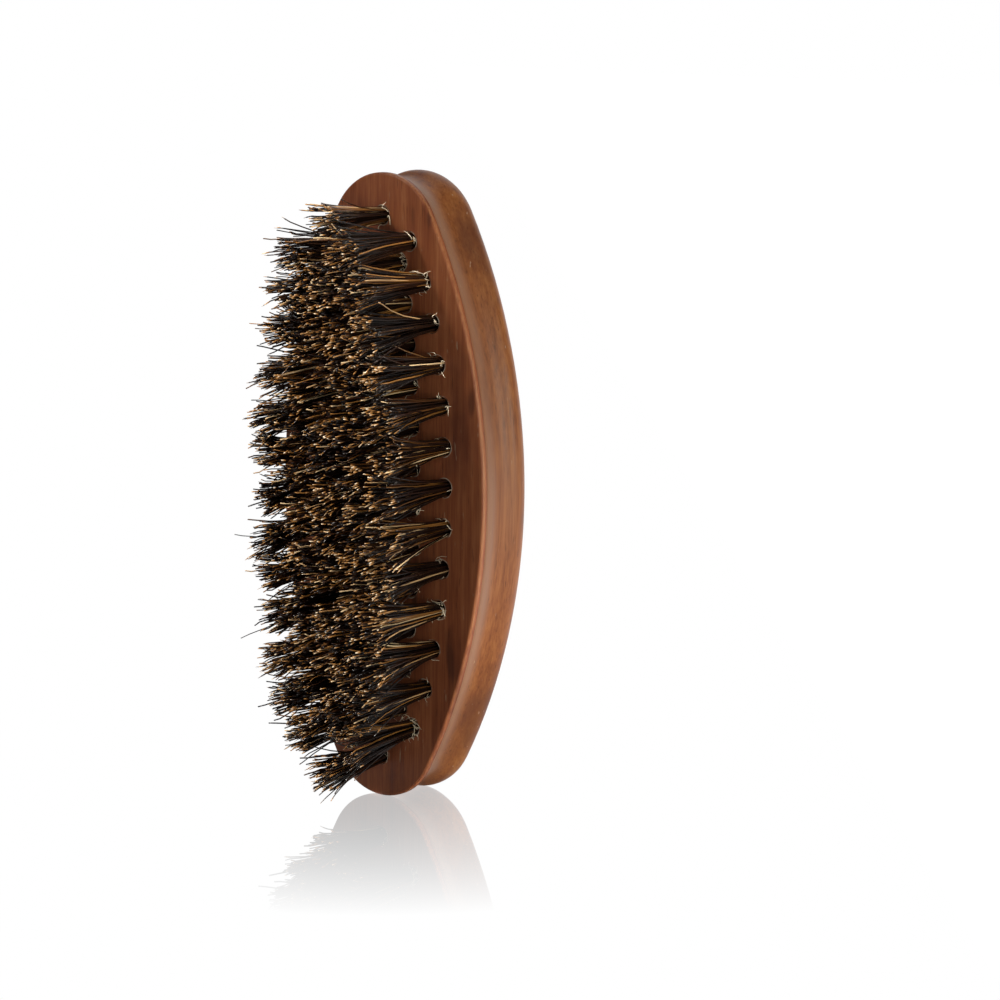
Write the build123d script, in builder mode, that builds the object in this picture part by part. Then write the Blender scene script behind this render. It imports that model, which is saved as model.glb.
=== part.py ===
from build123d import *
import math
import os

# Beard brush: a one-piece wooden body, knots of boar bristle in blind holes, and the flat wire
# anchor that holds each knot. X runs across the brush, Y from the bristle tips to the palm side,
# and Z along its length. The origin is under the lower end, at the middle of the overall depth.

# Driving dimensions, in millimetres.
length = 120
width = 50
body_thickness = 15
bristle_length = 19.5

# Outline of the body: a four-arc oval.
end_radius = 13

# Side wall, from the bristle face to the palm side: a rounded lip, a cove, then a round-over.
face_edge_radius = 0.5
lip_thickness = 1.2
cove_radius = 7
back_edge_radius = 4
cutter_overrun = 2

# Holes and knots.
hole_radius = 1.6
hole_depth = 8
hole_chamfer = 0.3
knot_clearance = 0.05
largest_tip_radius = 3.6
gap_between_tips = 0.2

# Layout of the holes: full rows of three, half rows of two between them, and one hole at each end.
# The rows climb a little towards the right, and the outer holes lie on an ellipse.
row_pitch = 7.75
full_rows_each_way = 6
row_tilt = 5
pattern_rise = 0.4
pattern_half_width = 15.6
pattern_half_length = 52.5
end_hole_height = 52

# Anchor: a short piece of flat wire pressed across the fold of its knot.
anchor_width = 3
anchor_thickness = 0.4
anchor_height = 1.6
anchor_depth = 6

# Sizes that follow from the ones above.
half_width = width / 2
half_length = length / 2
side_radius = (half_width**2 + half_length**2 - 2 * half_length * end_radius) / (
    2 * (half_width - end_radius)
)
side_centre = side_radius - half_width
end_centre = half_length - end_radius
junction_angle = math.degrees(math.atan2(end_centre, side_centre))
overall_depth = body_thickness + bristle_length
face_y = bristle_length - overall_depth / 2

# The bristle face, seen from the bristle side: its X is the row's X, and its Y is the row's Z.
face_plane = Plane(origin=(0, face_y, half_length), x_dir=(1, 0, 0), z_dir=(0, -1, 0))

# Centre of the round-over, from the side wall's outermost point and from the face.
crest = Vector(-back_edge_radius, body_thickness - back_edge_radius)


def cove_centre():
    """Centre of the cove's arc, which starts at the lip and runs tangent into the round-over."""
    lip = Vector(0, lip_thickness)
    span = (crest - lip).length
    along = (crest - lip) / span
    outward = Vector(along.Y, -along.X)
    reach = cove_radius + back_edge_radius
    foot = (cove_radius**2 - reach**2 + span**2) / (2 * span)
    return lip + along * foot + outward * math.sqrt(cove_radius**2 - foot**2)


def row_ends(height, slope):
    """X of the two points where a row that crosses the middle at a height meets the ellipse."""
    squeeze = (pattern_half_length / pattern_half_width) ** 2 + slope**2
    shift = -height * slope / squeeze
    reach = math.sqrt(shift**2 + (pattern_half_length**2 - height**2) / squeeze)
    return shift - reach, shift + reach


def hole_rows():
    """Rows of hole centres on the face, from the lower end to the upper end."""
    slope = math.tan(math.radians(row_tilt))
    rows = [(-end_hole_height, [0])]
    for half_steps in range(-2 * full_rows_each_way, 2 * full_rows_each_way + 1):
        height = pattern_rise + half_steps * row_pitch / 2
        left, right = row_ends(height, slope)
        if half_steps % 2:
            across = [left / 2, right / 2]
        elif abs(half_steps) == 2 * full_rows_each_way:
            across = [left, right]
        else:
            across = [left, 0, right]
        rows.append((height, across))
    rows.append((end_hole_height, [0]))
    return [[(x, height + x * slope) for x in across] for height, across in rows]


rows = hole_rows()
holes = [hole for row in rows for hole in row]


def tip_radius(hole):
    """Radius of a knot at its tips: as wide as its nearest neighbour leaves room for."""
    nearest = min(math.dist(hole, other) for other in holes if other != hole)
    return min(largest_tip_radius, (nearest - gap_between_tips) / 2)


# Body: the oval is sawn from the board, and its side wall is then routed all round.
with BuildLine() as oval:
    CenterArc((-side_centre, 0), side_radius, 0, junction_angle)
    CenterArc((0, end_centre), end_radius, junction_angle, 180 - 2 * junction_angle)
    CenterArc((side_centre, 0), side_radius, 180 - junction_angle, 2 * junction_angle)
    CenterArc((0, -end_centre), end_radius, 180 + junction_angle, 180 - 2 * junction_angle)
    CenterArc((-side_centre, 0), side_radius, -junction_angle, junction_angle)
rim = face_plane * oval.wire()

wall_plane = Plane(origin=(half_width, face_y, half_length), x_dir=(1, 0, 0), z_dir=(0, 0, 1))
cove = cove_centre()
cove_end = cove + (crest - cove).normalized() * cove_radius
cove_middle = cove - Vector(cove_radius, 0)
crest_middle = crest + Vector(back_edge_radius, 0)

with BuildPart() as body_block:
    with BuildSketch(face_plane):
        with BuildLine():
            add(oval.line)
        make_face()
    extrude(amount=-body_thickness)
    with BuildSketch(wall_plane):
        with BuildLine():
            lip_round = RadiusArc(
                (-face_edge_radius, 0), (0, face_edge_radius), -face_edge_radius
            )
            lip_wall = Line(lip_round @ 1, (0, lip_thickness))
            cove_arc = ThreePointArc(lip_wall @ 1, cove_middle, cove_end)
            crest_arc = ThreePointArc(cove_end, crest_middle, (crest.X, body_thickness))
            Polyline(
                crest_arc @ 1,
                (crest.X, body_thickness + cutter_overrun),
                (cutter_overrun, body_thickness + cutter_overrun),
                (cutter_overrun, -cutter_overrun),
                (-face_edge_radius, -cutter_overrun),
                lip_round @ 0,
            )
        make_face()
    sweep(path=rim, mode=Mode.SUBTRACT)
    with BuildSketch(face_plane):
        with Locations(*holes):
            Circle(hole_radius)
    extrude(amount=-hole_depth, mode=Mode.SUBTRACT)
    mouths = body_block.edges().filter_by(GeomType.CIRCLE).filter_by(
        lambda edge: edge.radius < 2 * hole_radius and abs(edge.center().Y - face_y) < hole_chamfer
    )
    chamfer(mouths, hole_chamfer)
body_block.part.label = "body_block"

# Knots: a straight root in the hole, which fans out above the face. The anchor lies in its slot.
knot_radius = hole_radius - knot_clearance
root_depth = hole_depth - knot_clearance
tuft_rows = []
for number, row in enumerate(rows, start=1):
    with BuildPart(face_plane) as tuft_row:
        for hole in row:
            with Locations((*hole, -root_depth / 2)):
                Cylinder(knot_radius, root_depth)
            with Locations((*hole, bristle_length / 2)):
                Cone(knot_radius, tip_radius(hole), bristle_length)
            with Locations((*hole, -anchor_depth)):
                Box(2 * hole_radius, anchor_thickness, anchor_height, mode=Mode.SUBTRACT)
    tuft_row.part.label = f"tuft_row_{number:02d}"
    tuft_rows.append(tuft_row)

# Anchors: one in each knot, all lying across the brush.
with BuildPart(face_plane) as knot_anchors:
    with Locations(*[(x, height, -anchor_depth) for x, height in holes]):
        Box(anchor_width, anchor_thickness, anchor_height)
knot_anchors.part.label = "knot_anchors"

os.makedirs("parts", exist_ok=True)
for piece in [body_block, knot_anchors, *tuft_rows]:
    export_step(piece.part, f"parts/{piece.part.label}.step")
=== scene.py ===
import math

import bpy
import numpy as np
from mathutils import Matrix, Vector


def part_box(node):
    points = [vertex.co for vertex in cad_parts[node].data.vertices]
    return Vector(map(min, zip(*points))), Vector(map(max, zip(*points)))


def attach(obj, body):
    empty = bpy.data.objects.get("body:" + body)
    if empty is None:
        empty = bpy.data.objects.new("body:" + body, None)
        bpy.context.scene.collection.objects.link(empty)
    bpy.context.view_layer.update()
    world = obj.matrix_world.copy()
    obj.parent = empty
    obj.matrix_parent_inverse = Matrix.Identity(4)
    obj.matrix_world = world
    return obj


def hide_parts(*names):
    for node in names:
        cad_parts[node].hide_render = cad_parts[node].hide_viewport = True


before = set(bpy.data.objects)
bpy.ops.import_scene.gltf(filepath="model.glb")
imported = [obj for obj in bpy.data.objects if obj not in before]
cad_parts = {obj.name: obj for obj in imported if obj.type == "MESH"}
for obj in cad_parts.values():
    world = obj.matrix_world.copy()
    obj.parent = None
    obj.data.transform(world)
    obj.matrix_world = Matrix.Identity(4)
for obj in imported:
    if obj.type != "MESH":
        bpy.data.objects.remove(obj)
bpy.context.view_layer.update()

MM = 0.001
BODY = "root"

# Camera: the photograph's view of the bristle face, in degrees and metres.
VIEW_AZIMUTH = 38.9
VIEW_ELEVATION = 9.4
VIEW_ROLL = 0.5
VIEW_DISTANCE = 0.64
AIM_RIGHT = 22.6 * MM
AIM_UP = -2.2 * MM
FOCAL_LENGTH_MM = 121.1

# Studio: brightness of what the camera doesn't see directly, where its white level is 1. The floor glows
# from a dim level to a bright one with the distance from the brush, in metres, along LIT_DIRECTION.
ROOM_GLOW = 0.06
FLOOR_GLOW = 0.22
FLOOR_GLOW_RIGHT = 1.1
LIT_DIRECTION = (0.75, 0.66, 0)
LIT_EDGE = (0.02, 0.12)
WALL_DIRECTION = (-0.375, 0.927, 0)
WALL_EDGE = (0.83, 0.91)
REFLECTION_REACH = 0.08
REFLECTION_FADE = 1.6
REFLECTION_SHARE = 0.5
FLOOR_HALF = 3.0
SPOT_SOFTNESS = 0.05

# Bristles: lengths in metres, FAN_ANGLE in radians, DROOP and INWARD_LEAN in degrees. A share or a count is
# for one knot. BY_SIDE adds its value at the right edge of the face and takes it away at the left edge.
SEED = 71
BRISTLES_PER_KNOT = 110
BRISTLE_RADIUS = 0.14 * MM
BRISTLE_SIDES = 5
ROOT_DEPTH = 5 * MM
MOUTH_SWELL = 0.16 * MM
FAN_ANGLE = math.radians(7.8)
FAN_BY_SIDE = 0.2
TRIM_RAGGEDNESS = 0.55 * MM
TRIM_SHARE = 0.93
TRIM_SHARE_BY_SIDE = 0.05
TRIM_SLOPE = 0.5 * MM
NATURAL_BEND = 0.55 * MM
WAVE = 0.11 * MM
DROOP = 0.5
INWARD_LEAN = 2
CLUMPS_PER_KNOT = 17
CLUMP_PULL = 0.75
CLUMP_LENGTHS = 0.5 * MM
STRAY_SHARE = 0.02
STRAY_FAN = 1.8
PALE_SHARE = 0.20
PALE_BY_SIDE = 0.35
FLAGS_PER_KNOT = 24
FLAG_LENGTH = 0.9 * MM
FUZZ_PER_KNOT = 7
FUZZ_TONE = 0.9
KNOT_GAP = 2 * MM
ROOT_SLICE = 0.1 * MM

# Varnish rims round the knots, in metres.
RIM_RADIUS = 1.9 * MM
RIM_THICKNESS = 0.075 * MM
RIM_STEPS = 32
RIM_SIDES = 6
RIM_FLATNESS = 0.6
RIM_WANDER = 0.03 * MM

# Wood colours, in linear light. The grain has (position, colour) stops.
GRAIN = [
    (0.36, (0.19, 0.052, 0.020)),
    (0.45, (0.28, 0.080, 0.031)),
    (0.54, (0.36, 0.114, 0.043)),
    (0.63, (0.43, 0.152, 0.060)),
]
STAIN = (0.13, 0.036, 0.022, 1)
PORE = (0.05, 0.016, 0.008, 1)
SIDE_TINT = (0.90, 0.98, 0.74, 1)
DARK_MARK = (0.07, 0.025, 0.016, 1)
# Worn edge with a painted highlight, along the lip.
WORN_EDGE_AND_HIGHLIGHT = (0.50, 0.21, 0.085, 1)
# Painted shade: the dark line in the corner behind the lip.
CORNER_SHADE = (0.07, 0.022, 0.012, 1)
# Painted reflection: the pale grey sheen in the groove.
GROOVE_SHEEN = (0.34, 0.185, 0.120, 1)
SCRATCH = (0.52, 0.36, 0.24, 1)

# Bristle colours, in linear light, with (position, colour) stops.
BRISTLE_TONES = [
    (0.00, (0.003, 0.0015, 0.001)),
    (0.62, (0.007, 0.0030, 0.002)),
    (0.76, (0.025, 0.009, 0.004)),
    (0.85, (0.10, 0.040, 0.009)),
    (0.93, (0.32, 0.145, 0.036)),
    (1.00, (0.78, 0.58, 0.33)),
]
PALE_TIPS = [
    (0.0, (0.14, 0.055, 0.011)),
    (0.5, (0.42, 0.20, 0.055)),
    (1.0, (1.00, 0.86, 0.62)),
]


# ---------------------------------------------------------------- node helpers


def shader_nodes(material):
    """A material's or world's empty node tree."""
    material.use_nodes = True
    material.node_tree.nodes.clear()
    return material.node_tree


def add_node(tree, kind, settings=None, **inputs):
    """Adds a node. An input is named, or numbered as i0, i1, and takes a value or a socket to link."""
    node = tree.nodes.new(kind)
    for name, value in (settings or {}).items():
        setattr(node, name, value)
    for name, value in inputs.items():
        numbered = name[0] == "i" and name[1:].isdigit()
        socket = node.inputs[int(name[1:]) if numbered else name.replace("_", " ")]
        if isinstance(value, bpy.types.NodeSocket):
            tree.links.new(value, socket)
        else:
            socket.default_value = value
    return node


def stretched(tree, scale, offset=(0, 0, 0)):
    """The row's own coordinates in metres, stretched by a scale for each axis."""
    place = add_node(tree, "ShaderNodeTexCoord")
    mapping = add_node(
        tree, "ShaderNodeMapping", Vector=place.outputs["Object"], Scale=scale, Location=offset,
    )
    return mapping.outputs[0]


def noise(tree, scale, detail=3.0, roughness=0.5, distortion=0.0, offset=(0, 0, 0)):
    """Noise over the row's coordinates, with cells of 1/scale metres on each axis."""
    made = add_node(
        tree, "ShaderNodeTexNoise", Vector=stretched(tree, scale, offset),
        Scale=1.0, Detail=detail, Roughness=roughness, Distortion=distortion,
    )
    return made.outputs["Fac"]


def ramp(tree, factor, stops):
    """A colour ramp with (position, colour) stops."""
    node = add_node(tree, "ShaderNodeValToRGB", Fac=factor)
    points = node.color_ramp.elements
    while len(points) < len(stops):
        points.new(0.5)
    for point, (position, colour) in zip(points, stops):
        point.position = position
        point.color = (*colour, 1.0)
    return node.outputs["Color"]


def remap(tree, value, low, high, to_low=0.0, to_high=1.0, ease="SMOOTHSTEP"):
    """Value taken from low..high to to_low..to_high, clamped."""
    node = add_node(
        tree, "ShaderNodeMapRange", {"interpolation_type": ease},
        i0=value, i1=low, i2=high, i3=to_low, i4=to_high,
    )
    return node.outputs[0]


def mix(tree, factor, first, second, blend="MIX"):
    """Two colours mixed by a factor."""
    settings = {"data_type": "RGBA", "blend_type": blend}
    node = add_node(tree, "ShaderNodeMix", settings, i0=factor, i6=first, i7=second)
    return node.outputs[2]


def math_node(tree, operation, first, second):
    """A sum, product or other result of two numbers."""
    return add_node(tree, "ShaderNodeMath", {"operation": operation}, i0=first, i1=second).outputs[0]


def times(tree, first, second):
    return math_node(tree, "MULTIPLY", first, second)


def vector_node(tree, operation, first, second=(0, 0, 0)):
    """The outputs of a vector operation."""
    return add_node(tree, "ShaderNodeVectorMath", {"operation": operation}, i0=first, i1=second).outputs


def band(tree, value, start, full, ebb, end):
    """1 where a length in metres is between full and ebb, easing to 0 at start and end, all four in mm."""
    return times(
        tree, remap(tree, value, start * MM, full * MM), remap(tree, value, end * MM, ebb * MM),
    )


# ---------------------------------------------------------------- materials


def wood_material(face_y):
    """Red-brown stained hardwood under satin varnish, with its grain along the brush."""
    material = bpy.data.materials.new("stained_wood")
    tree = shader_nodes(material)
    rings = noise(tree, (130, 240, 6), detail=2, roughness=0.5, distortion=0.5)
    streaks = noise(tree, (900, 900, 40), detail=4, roughness=0.6)
    fibres = noise(tree, (2600, 2600, 120), detail=3, roughness=0.6)
    blotches = noise(tree, (60, 60, 24), detail=4, roughness=0.6, offset=(3, 7, 1))
    pores = remap(tree, noise(tree, (2600, 2600, 190), detail=1, offset=(9, 2, 4)), 0.66, 0.76)

    grain = math_node(tree, "ADD", times(tree, rings, 0.28), times(tree, streaks, 0.42))
    grain = math_node(tree, "ADD", grain, times(tree, fibres, 0.30))
    colour = ramp(tree, grain, GRAIN)
    stain = remap(tree, blotches, 0.50, 0.30)
    colour = mix(tree, times(tree, stain, 0.7), colour, STAIN)
    colour = mix(tree, times(tree, pores, 0.45), colour, PORE)

    # Distances behind the face, with edges that waver along the streaks.
    place = add_node(tree, "ShaderNodeTexCoord").outputs["Object"]
    axes = add_node(tree, "ShaderNodeSeparateXYZ", Vector=place).outputs
    height = axes["Z"]
    behind_face = math_node(tree, "SUBTRACT", axes["Y"], face_y)
    wobble = times(tree, math_node(tree, "SUBTRACT", streaks, 0.5), 0.5 * MM)
    behind_face = math_node(tree, "ADD", behind_face, wobble)
    beside = remap(tree, behind_face, 1.0 * MM, 2.0 * MM)
    colour = mix(tree, beside, colour, SIDE_TINT, "MULTIPLY")
    smudges = noise(tree, (260, 260, 60), detail=2, offset=(4, 4, 9))
    colour = mix(tree, remap(tree, smudges, 0.64, 0.76, 0.0, 0.55), colour, DARK_MARK)

    # The lip's worn edge with a painted highlight along it, which fades towards the foot, and a painted
    # shade line in the corner behind it.
    worn_and_highlight = band(tree, behind_face, 0.05, 0.25, 0.50, 0.75)
    worn_and_highlight = times(tree, worn_and_highlight, remap(tree, fibres, 0.35, 0.65, 0.2, 0.65))
    worn_and_highlight = times(tree, worn_and_highlight, remap(tree, height, 15 * MM, 45 * MM, 0.3, 1.0))
    colour = mix(tree, worn_and_highlight, colour, WORN_EDGE_AND_HIGHLIGHT)
    # Painted shade in the corner between the lip and the groove.
    corner = band(tree, behind_face, 0.95, 1.20, 1.30, 1.65)
    colour = mix(tree, times(tree, corner, 0.5), colour, CORNER_SHADE)

    # A painted reflection in the groove, a pale grey sheen that is strongest towards the foot, and short
    # pale scratches.
    groove_sheen = band(tree, behind_face, 1.3, 3.0, 4.5, 7.0)
    groove_sheen = times(tree, groove_sheen, remap(tree, blotches, 0.30, 0.60, 0.30, 0.75))
    groove_sheen = times(tree, groove_sheen, remap(tree, height, 35 * MM, 8 * MM, 0.95, 1.3))
    colour = mix(tree, groove_sheen, colour, GROOVE_SHEEN)
    nicks = noise(tree, (1500, 1500, 230), detail=2, offset=(1, 5, 8))
    colour = mix(tree, remap(tree, nicks, 0.70, 0.78, 0.0, 0.6), colour, SCRATCH)

    roughness = remap(tree, streaks, 0.3, 0.7, 0.36, 0.46)
    relief = math_node(tree, "SUBTRACT", times(tree, fibres, 0.35), times(tree, pores, 0.9))
    bump = add_node(tree, "ShaderNodeBump", Strength=0.2, Distance=0.05 * MM, Height=relief)
    shader = add_node(
        tree, "ShaderNodeBsdfPrincipled", Base_Color=colour, Roughness=roughness,
        Normal=bump.outputs[0], IOR=1.38,
    )
    add_node(tree, "ShaderNodeOutputMaterial", Surface=shader.outputs[0])
    return material


def bristle_material():
    """Boar bristle: mostly near black, some amber and straw-coloured, many paler at the tips."""
    material = bpy.data.materials.new("boar_bristle")
    tree = shader_nodes(material)
    tone = add_node(tree, "ShaderNodeAttribute", {"attribute_name": "tone"}).outputs["Fac"]
    tip = add_node(tree, "ShaderNodeAttribute", {"attribute_name": "tip"}).outputs["Fac"]
    colour = ramp(tree, tone, BRISTLE_TONES)
    mottle = noise(tree, (500, 160, 500), detail=2)
    colour = mix(tree, remap(tree, mottle, 0.55, 0.75, 0.0, 0.15), colour, (0.12, 0.055, 0.018, 1))
    colour = mix(tree, remap(tree, tip, 0.0, 0.35), colour, ramp(tree, tip, PALE_TIPS))
    scales = noise(tree, (9000, 5000, 9000), detail=1)
    bump = add_node(tree, "ShaderNodeBump", Strength=0.2, Distance=0.01 * MM, Height=scales)
    shader = add_node(
        tree, "ShaderNodeBsdfPrincipled", Base_Color=colour, Roughness=0.23,
        Normal=bump.outputs[0], IOR=1.55,
    )
    add_node(tree, "ShaderNodeOutputMaterial", Surface=shader.outputs[0])
    return material


def varnish_material():
    """Dried varnish: clear brown in some patches and pale in others; the pale colour is a painted glint on
    the shiny bead.
    """
    material = bpy.data.materials.new("varnish")
    tree = shader_nodes(material)
    patches = noise(tree, (420, 420, 420), detail=2)
    # Painted glint: pale patches on the shiny varnish bead.
    pale_glint_patches = remap(tree, patches, 0.40, 0.60)
    colour = mix(tree, pale_glint_patches, (0.16, 0.07, 0.035, 1), (0.62, 0.50, 0.38, 1))
    shader = add_node(tree, "ShaderNodeBsdfPrincipled", Base_Color=colour, Roughness=0.2, IOR=1.5)
    add_node(tree, "ShaderNodeOutputMaterial", Surface=shader.outputs[0])
    return material


def wire_material():
    """Bright drawn steel wire, with drawing lines along it."""
    material = bpy.data.materials.new("anchor_wire")
    tree = shader_nodes(material)
    lines = noise(tree, (300, 6000, 6000), detail=2)
    colour = mix(tree, lines, (0.50, 0.49, 0.46, 1), (0.72, 0.71, 0.68, 1))
    roughness = remap(tree, lines, 0.3, 0.7, 0.25, 0.45)
    shader = add_node(
        tree, "ShaderNodeBsdfPrincipled", Base_Color=colour, Metallic=1.0, Roughness=roughness,
    )
    add_node(tree, "ShaderNodeOutputMaterial", Surface=shader.outputs[0])
    return material


def wall_glow(tree, direction, elsewhere):
    """1 towards the white wall behind the brush, and a dimmer glow elsewhere."""
    level = vector_node(tree, "NORMALIZE", vector_node(tree, "MULTIPLY", direction, (1, 1, 0))[0])[0]
    behind = vector_node(tree, "DOT_PRODUCT", level, WALL_DIRECTION)["Value"]
    return remap(tree, behind, *WALL_EDGE, elsewhere, 1.0)


def floor_material(foot):
    """A white table: plain white, with a mirror-like sheen that fades away from the brush's foot."""
    material = bpy.data.materials.new("white_table")
    tree = shader_nodes(material)
    place = add_node(tree, "ShaderNodeTexCoord").outputs["Object"]
    reach = vector_node(tree, "DISTANCE", place, foot)["Value"]
    share = math_node(tree, "POWER", math_node(tree, "DIVIDE", reach, REFLECTION_REACH), REFLECTION_FADE)
    gloss = remap(tree, share, 0.0, 1.0, REFLECTION_SHARE, 0.0, "LINEAR")
    seen = add_node(tree, "ShaderNodeLightPath").outputs["Is Camera Ray"]
    lit_side = vector_node(tree, "DOT_PRODUCT", place, LIT_DIRECTION)["Value"]
    glow = remap(tree, lit_side, *LIT_EDGE, FLOOR_GLOW, FLOOR_GLOW_RIGHT)
    glow = math_node(tree, "MAXIMUM", wall_glow(tree, place, FLOOR_GLOW), glow)
    strength = math_node(tree, "MAXIMUM", glow, seen)
    white = add_node(tree, "ShaderNodeEmission", Color=(1, 1, 1, 1), Strength=strength)
    sheen = add_node(tree, "ShaderNodeBsdfGlossy", Color=(1, 1, 1, 1), Roughness=0.0)
    blend = add_node(tree, "ShaderNodeMixShader", i0=gloss, i1=white.outputs[0], i2=sheen.outputs[0])
    add_node(tree, "ShaderNodeOutputMaterial", Surface=blend.outputs[0])
    return material


# ---------------------------------------------------------------- bristles


def add_piece(name, mesh, material):
    """A new piece that rides on the brush."""
    piece = bpy.data.objects.new(name, mesh)
    mesh.materials.append(material)
    bpy.context.scene.collection.objects.link(piece)
    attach(piece, BODY)
    return piece


def tuft_nodes():
    """The CAD nodes of the bristle rows, from the lower end to the upper end."""
    return sorted(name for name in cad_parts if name.startswith("tuft_row"))


def node_points(name):
    """A CAD node's vertices as an array."""
    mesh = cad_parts[name].data
    points = np.zeros(len(mesh.vertices) * 3)
    mesh.vertices.foreach_get("co", points)
    return points.reshape(-1, 3)


def root_circles(name):
    """The innermost points of each knot of a row, from left to right."""
    points = node_points(name)
    roots = points[points[:, 1] > points[:, 1].max() - ROOT_SLICE]
    roots = roots[np.argsort(roots[:, 0])]
    return np.split(roots, np.nonzero(np.diff(roots[:, 0]) > KNOT_GAP)[0] + 1)


def knot_centres(name):
    """Where each knot of a row stands on the face, as (x, z)."""
    return [(circle.min(0) + circle.max(0))[[0, 2]] / 2 for circle in root_circles(name)]


def root_radius(name):
    """The radius of a row's knots where they enter the wood."""
    return np.ptp(root_circles(name)[0][:, 2]) / 2


class Strands:
    """Collects tapered tubes and makes them into one mesh with a tone and a tip value on each point."""

    def __init__(self, sides):
        self.sides = sides
        self.rings, self.tones, self.tips = [], [], []

    def add(self, paths, radii, tones, tips):
        """paths is strands x points x 3; radii and tips are strands x points; tones is one per strand."""
        heading = paths[:, -1] - paths[:, 0]
        heading /= np.linalg.norm(heading, axis=1, keepdims=True)
        across = np.cross(heading, np.array([0.31, 0.17, 0.94]))
        across /= np.linalg.norm(across, axis=1, keepdims=True)
        other = np.cross(heading, across)
        turn = np.arange(self.sides) * 2 * math.pi / self.sides
        ring = across[:, None, None] * np.cos(turn)[:, None]
        ring = ring + other[:, None, None] * np.sin(turn)[:, None]
        self.rings.append(paths[:, :, None] + ring * radii[:, :, None, None])
        self.tones.append(np.broadcast_to(tones[:, None], radii.shape))
        self.tips.append(tips)

    def faces(self):
        """Quads along each tube, and one cap at each end."""
        quads, caps, start = [], [], 0
        side = np.arange(self.sides)
        following = (side + 1) % self.sides
        for rings in self.rings:
            count, points = rings.shape[:2]
            base = start + np.arange(count)[:, None, None] * points * self.sides
            level = np.arange(points - 1)[None, :, None] * self.sides
            corners = [side, following, following + self.sides, side + self.sides]
            quads.append(np.stack([(base + level + corner).ravel() for corner in corners], 1))
            first = start + np.arange(count)[:, None] * points * self.sides
            caps.append(first + side[::-1])
            caps.append(first + (points - 1) * self.sides + side)
            start += count * points * self.sides
        return np.concatenate(quads), np.concatenate(caps)

    def mesh(self, name):
        """All tubes as one mesh."""
        quads, caps = self.faces()
        points = np.concatenate([rings.reshape(-1, 3) for rings in self.rings])
        mesh = bpy.data.meshes.new(name)
        mesh.vertices.add(len(points))
        mesh.vertices.foreach_set("co", points.ravel())
        loops = np.concatenate([quads.ravel(), caps.ravel()])
        mesh.loops.add(len(loops))
        mesh.loops.foreach_set("vertex_index", loops)
        starts = np.concatenate([
            np.arange(len(quads)) * 4,
            len(quads) * 4 + np.arange(len(caps)) * self.sides,
        ])
        mesh.polygons.add(len(starts))
        mesh.polygons.foreach_set("loop_start", starts)
        smooth = np.ones(len(starts), bool)
        smooth[len(quads):] = False
        mesh.polygons.foreach_set("use_smooth", smooth)
        for label, values in (("tone", self.tones), ("tip", self.tips)):
            column = np.concatenate([np.repeat(value.ravel(), self.sides) for value in values])
            mesh.attributes.new(label, "FLOAT", "POINT").data.foreach_set("value", column)
        mesh.update()
        mesh.validate()
        return mesh


def plane_points(x, y, z):
    """Points from coordinates that are broadcast against each other."""
    return np.stack(np.broadcast_arrays(x, y, z), -1)


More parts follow.
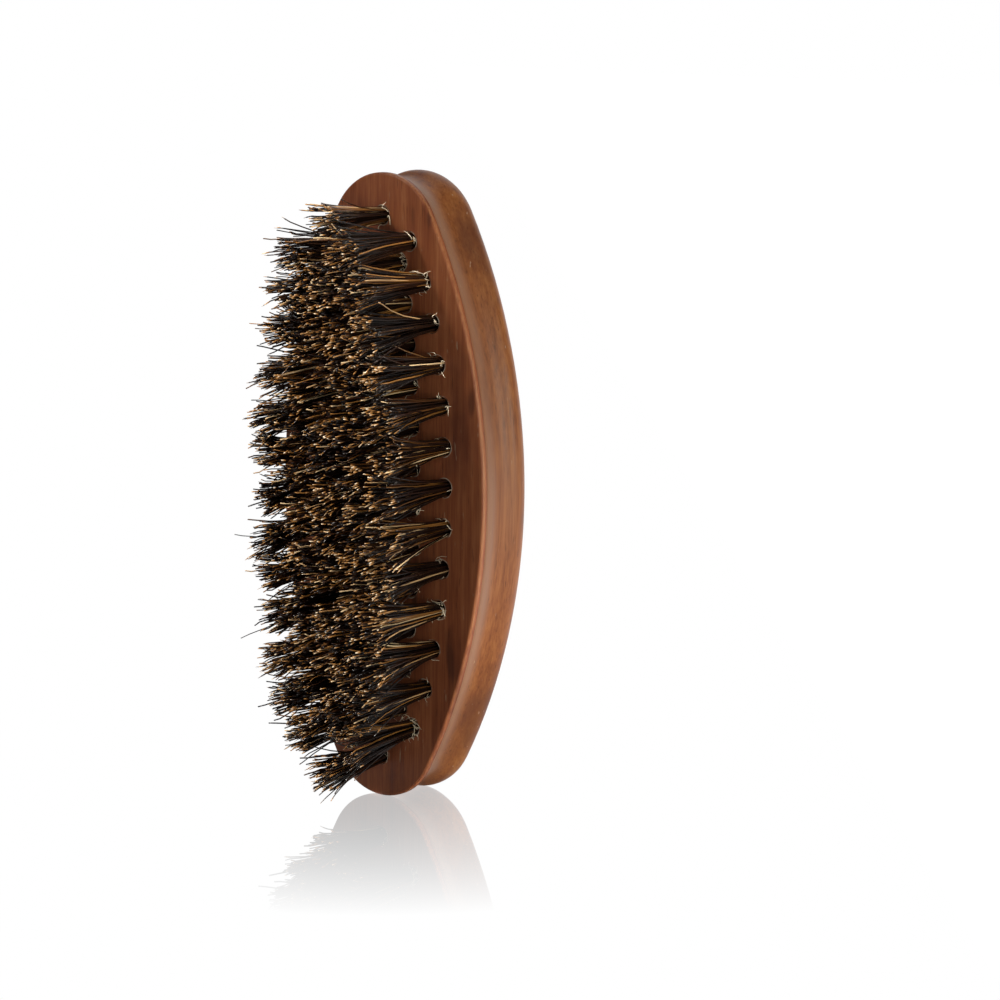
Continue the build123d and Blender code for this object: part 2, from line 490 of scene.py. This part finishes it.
def grow_knot(rng, strands, centre, side, height, face_y, length, hole_radius):
    """Bristles of one knot: packed in the hole, fanned out above it in clumps, and trimmed unevenly.

    side is -1 at the left edge of the face and 1 at the right edge, and height is -1 at its lower end and
    1 at its upper end.
    """
    count = BRISTLES_PER_KNOT
    reach = np.sqrt(rng.random(count))
    turn = rng.random(count) * 2 * math.pi
    spot = np.stack([reach * np.cos(turn), reach * np.sin(turn)])
    clumps = spot[:, rng.integers(0, count, CLUMPS_PER_KNOT)]
    nearest = np.argmin(((spot[:, :, None] - clumps[:, None]) ** 2).sum(0), axis=1)
    pull = CLUMP_PULL * rng.uniform(0.4, 1.5, CLUMPS_PER_KNOT)[nearest]
    fan_spot = spot + (clumps[:, nearest] - spot) * pull
    clump_reach = rng.normal(1.0, 0.22, CLUMPS_PER_KNOT)[nearest]
    strays = rng.random(count) < STRAY_SHARE
    fan = math.tan(FAN_ANGLE) * (1 + FAN_BY_SIDE * side) * clump_reach
    fan = fan * np.where(strays, STRAY_FAN, rng.uniform(0.88, 1.12, count))
    lean = np.tan(np.radians(rng.normal(0, 1.5, 2) + (INWARD_LEAN * (1 - side) / 2, -DROOP)))

    clump_length = rng.normal(0, CLUMP_LENGTHS, CLUMPS_PER_KNOT)[nearest]
    lengths = length * rng.normal(TRIM_SHARE + TRIM_SHARE_BY_SIDE * side, 0.015) + TRIM_SLOPE * height
    lengths = lengths + clump_length - np.abs(rng.normal(0, TRIM_RAGGEDNESS, count))
    lengths += np.where(strays, rng.uniform(0.3, 1.5, count) * MM, 0)

    steps = np.array([0.0, 0.225, 0.40, 0.60, 0.80, 0.94, 1.0])
    rise = -ROOT_DEPTH + steps * (lengths[:, None] + ROOT_DEPTH)
    out = np.maximum(rise, 0)
    share = out / lengths[:, None]
    spread = out * (0.55 + 0.45 * share)
    bend = rng.normal(0, NATURAL_BEND, (2, count, 1)) * rng.exponential(1.0, (count, 1)) * share**2
    wave = rng.normal(0, WAVE, (2, count, len(steps))) * share
    swell = np.interp(rise, [-1.5 * MM, 0], [0, MOUTH_SWELL])
    packed = (hole_radius - BRISTLE_RADIUS + swell) * spot[:, :, None]
    slant = fan_spot * fan + lean[:, None]
    x, z = np.array(centre)[:, None, None] + packed + spread * slant[:, :, None] + bend + wave
    paths = plane_points(x, face_y - rise, z)

    thickness = BRISTLE_RADIUS * rng.uniform(0.75, 1.2, count)
    taper = np.interp(steps, [0, 0.6, 1], [1.0, 1.0, 0.80])
    tones = rng.random(count)
    tones = tones ** (rng.uniform(0.6, 1.4) * rng.uniform(0.5, 1.8, CLUMPS_PER_KNOT)[nearest])
    knot_share = PALE_SHARE * (1 + PALE_BY_SIDE * side) * rng.uniform(0.4, 1.7)
    clump_share = rng.exponential(1.1, CLUMPS_PER_KNOT)[nearest]
    is_pale = rng.random(count) < knot_share * clump_share
    pale = np.where(is_pale, rng.uniform(0.2, 1.0, count) ** 1.4, 0)
    tips = np.interp(steps, [0, 0.94, 1], [0, 0, 1])[None] * pale[:, None]
    strands.add(paths, thickness[:, None] * taper, tones, tips)
    return paths, thickness, tones


def split_tips(rng, strands, paths, thickness, tones):
    """Flags: the fine split ends of natural bristle."""
    picked = rng.integers(0, len(paths), FLAGS_PER_KNOT)
    end = paths[picked, -1]
    heading = end - paths[picked, -2]
    heading /= np.linalg.norm(heading, axis=1, keepdims=True)
    stray = heading + rng.normal(0, 0.16, heading.shape)
    reach = FLAG_LENGTH * rng.uniform(0.5, 1.1, len(picked))[:, None, None]
    steps = np.array([-0.25, 0.4, 1.0])[None, :, None]
    flags = end[:, None] + steps * reach * (heading[:, None] * 0.6 + stray[:, None] * 0.4)
    radii = thickness[picked][:, None] * np.array([0.5, 0.42, 0.2])
    tips = np.tile([0.5, 0.7, 0.9], (len(picked), 1)) * rng.random(len(picked))[:, None]
    strands.add(flags, radii, tones[picked], tips)


def fuzz(rng, strands, centre, face_y, hole_radius):
    """Fine broken hairs that curl out over the hole's edge: many at some knots, hardly any at others."""
    count = int(rng.exponential(FUZZ_PER_KNOT)) + 2
    turn = rng.random(count) * 2 * math.pi
    steps = np.linspace(0, 1, 6)
    out = hole_radius * 0.9 + steps * rng.uniform(0.3, 1.7, count)[:, None] * MM
    curl = np.sin(steps * rng.uniform(2, 5, count)[:, None]) * rng.normal(0, 0.35, count)[:, None]
    curl = turn[:, None] + curl
    rise = np.sin(steps * rng.uniform(1.6, 3.4, count)[:, None])
    rise = rise * rng.uniform(0.3, 1.6, count)[:, None] * MM
    x, z = centre[0] + out * np.cos(curl), centre[1] + out * np.sin(curl)
    paths = plane_points(x, face_y - np.abs(rise), z)
    radii = np.interp(steps, [0, 0.6, 1], [0.065, 0.055, 0.03]) * np.ones((count, 1)) * MM
    strands.add(paths, radii, np.full(count, FUZZ_TONE), np.ones((count, len(steps))))


def varnish_rims(material, face_y):
    """The thin uneven rim of varnish round each knot, on the edge of its hole."""
    rng = np.random.default_rng(SEED)
    centres = np.array([centre for name in tuft_nodes() for centre in knot_centres(name)])
    turn = np.arange(RIM_STEPS) * 2 * math.pi / RIM_STEPS
    each = (len(centres), 1)
    uneven = sum(
        rng.uniform(0.1, 0.4, each) * np.sin(waves * turn + rng.uniform(0, 6.28, each))
        for waves in (1, 2, 3, 5)
    )
    thickness = RIM_THICKNESS * np.clip(1 + uneven, 0.3, None)
    around = np.arange(RIM_SIDES) * 2 * math.pi / RIM_SIDES
    reach = RIM_RADIUS + thickness[..., None] * np.cos(around) + RIM_WANDER * uneven[..., None]
    points = plane_points(
        centres[:, 0, None, None] + reach * np.cos(turn)[:, None],
        face_y - RIM_FLATNESS * thickness[..., None] * np.sin(around),
        centres[:, 1, None, None] + reach * np.sin(turn)[:, None],
    )
    index = np.arange(points[..., 0].size).reshape(points.shape[:3])
    onward, upward = np.roll(index, -1, axis=1), np.roll(index, -1, axis=2)
    quads = np.stack([index, onward, np.roll(onward, -1, axis=2), upward], -1).reshape(-1, 4)
    mesh = bpy.data.meshes.new("varnish_rims")
    mesh.from_pydata(points.reshape(-1, 3).tolist(), [], quads.tolist())
    mesh.polygons.foreach_set("use_smooth", np.ones(len(quads), bool))
    add_piece("varnish_rims", mesh, material)


def bristle_row(name, rng, material, middle, half_width):
    """One row of knots as real bristles, in place of the row's plain CAD plugs."""
    face_y = middle.y
    length = face_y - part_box(name)[0].y
    hole_radius = root_radius(name)
    strands = Strands(BRISTLE_SIDES)
    for centre in knot_centres(name):
        side, height = centre[0] / half_width, (centre[1] - middle.z) / middle.z
        knot = grow_knot(rng, strands, centre, side, height, face_y, length, hole_radius)
        split_tips(rng, strands, *knot)
        fuzz(rng, strands, centre, face_y, hole_radius)
    piece = add_piece(name.replace("tuft", "bristle"), strands.mesh(name), material)
    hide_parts(name)
    return piece


# ---------------------------------------------------------------- studio


def add_camera(target):
    """Looks at the face from the photograph's side, at its distance."""
    azimuth, elevation, roll = (math.radians(a) for a in (VIEW_AZIMUTH, VIEW_ELEVATION, VIEW_ROLL))
    right = Vector((math.cos(azimuth), math.sin(azimuth), 0))
    back = Vector((
        math.sin(azimuth) * math.cos(elevation),
        -math.cos(azimuth) * math.cos(elevation),
        math.sin(elevation),
    ))
    up = back.cross(right)
    right, up = right * math.cos(roll) + up * math.sin(roll), up * math.cos(roll) - right * math.sin(roll)
    place = target + right * AIM_RIGHT + up * AIM_UP + back * VIEW_DISTANCE
    camera = bpy.data.objects.new("camera", bpy.data.cameras.new("camera"))
    camera.data.lens = FOCAL_LENGTH_MM
    camera.data.clip_start = 0.01
    camera.matrix_world = Matrix((right, up, back)).transposed().to_4x4()
    camera.matrix_world.translation = place
    bpy.context.scene.collection.objects.link(camera)
    bpy.context.scene.camera = camera


def add_light(kind, name, place, target, power, colour):
    """A light that points at its target and isn't seen itself."""
    light = bpy.data.objects.new(name, bpy.data.lights.new(name, kind))
    light.data.energy = power
    light.data.color = colour
    light.location = place
    light.rotation_euler = (Vector(target) - Vector(place)).to_track_quat("-Z", "Y").to_euler()
    light.visible_camera = False
    bpy.context.scene.collection.objects.link(light)
    return light


def add_softbox(name, place, target, size, power, colour=(1, 1, 1)):
    """A rectangular light, with its width and height in metres."""
    light = add_light("AREA", name, place, target, power, colour)
    light.data.shape = "RECTANGLE"
    light.data.size, light.data.size_y = size
    return light


def add_spot(name, place, target, cone, power, colour):
    """A soft-edged spot, with its cone in degrees."""
    light = add_light("SPOT", name, place, target, power, colour)
    light.data.spot_size = math.radians(cone)
    light.data.spot_blend = 1.0
    light.data.shadow_soft_size = SPOT_SOFTNESS
    return light


def add_world():
    """White for the camera, straight or in the table; for the rest a dim studio with a white wall behind."""
    world = bpy.data.worlds.new("studio")
    bpy.context.scene.world = world
    tree = shader_nodes(world)
    direction = add_node(tree, "ShaderNodeTexCoord").outputs["Generated"]
    path = add_node(tree, "ShaderNodeLightPath").outputs
    seen = math_node(tree, "MAXIMUM", path["Is Camera Ray"], path["Is Singular Ray"])
    strength = math_node(tree, "MAXIMUM", wall_glow(tree, direction, ROOM_GLOW), seen)
    light = add_node(tree, "ShaderNodeBackground", Color=(1, 1, 1, 1), Strength=strength)
    add_node(tree, "ShaderNodeOutputWorld", Surface=light.outputs[0])


def add_floor(foot):
    """The table top, which is staged and so isn't part of the object."""
    half = FLOOR_HALF
    mesh = bpy.data.meshes.new("table")
    corners = [(-half, -half, 0), (half, -half, 0), (half, half, 0), (-half, half, 0)]
    mesh.from_pydata(corners, [], [(0, 1, 2, 3)])
    floor = bpy.data.objects.new("table", mesh)
    mesh.materials.append(floor_material(foot))
    bpy.context.scene.collection.objects.link(floor)


def light_apart(rows, bristle_lights, wood_light):
    """Lets some lights reach only the bristles, and one reach everything but them."""
    bristles_only = bpy.data.collections.new("bristles_only")
    no_bristles = bpy.data.collections.new("no_bristles")
    for row in rows:
        bristles_only.objects.link(row)
        no_bristles.objects.link(row)
    for member in no_bristles.collection_objects:
        member.light_linking.link_state = "EXCLUDE"
    for light in bristle_lights:
        light.light_linking.receiver_collection = bristles_only
    wood_light.light_linking.receiver_collection = no_bristles


def dress(node, material):
    """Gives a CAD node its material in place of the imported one."""
    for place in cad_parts[node].material_slots:
        place.material = material


# ---------------------------------------------------------------- the scene

low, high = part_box("body_block")
face_y = low.y
middle = Vector((0, face_y, (low.z + high.z) / 2))

add_camera(middle)
add_world()
add_floor((0, 0, 0))
upper_end = (0, face_y, high.z + 4 * MM)
lower_end = (0, face_y, 2 * MM)
add_softbox("key", (0.60, 0.10, 0.06), middle, (0.30, 0.40), 2.2, (1.0, 0.97, 0.80))
low_key = add_spot("low_key", (0.50, 0.06, 0.03), lower_end, 6.5, 30.0, (1.0, 1.0, 0.94))
add_spot("top_fill", (-0.15, -0.40, 0.45), upper_end, 6, 14.0, (1.0, 0.95, 0.9))
add_softbox("front", (0.35, -0.45, 0.12), middle, (0.20, 0.20), 0.45)
add_softbox("fill", (-0.20, -0.28, 0.40), middle, (0.20, 0.15), 0.30)
rim = add_softbox("rim", (0.14, 0.22, 0.62), middle, (0.20, 0.20), 3.8, (1.0, 0.90, 0.80))
sparkle = add_softbox("sparkle", (0.10, -0.50, 0.50), middle, (0.12, 0.12), 5.5, (1.0, 0.94, 0.88))
bpy.context.scene.view_settings.view_transform = "Standard"

dress("body_block", wood_material(face_y))
dress("knot_anchors", wire_material())
bristle = bristle_material()
rows = [
    bristle_row(name, np.random.default_rng((SEED, number)), bristle, middle, high.x)
    for number, name in enumerate(tuft_nodes())
]
varnish_rims(varnish_material(), face_y)
light_apart(rows, (rim, sparkle), low_key)
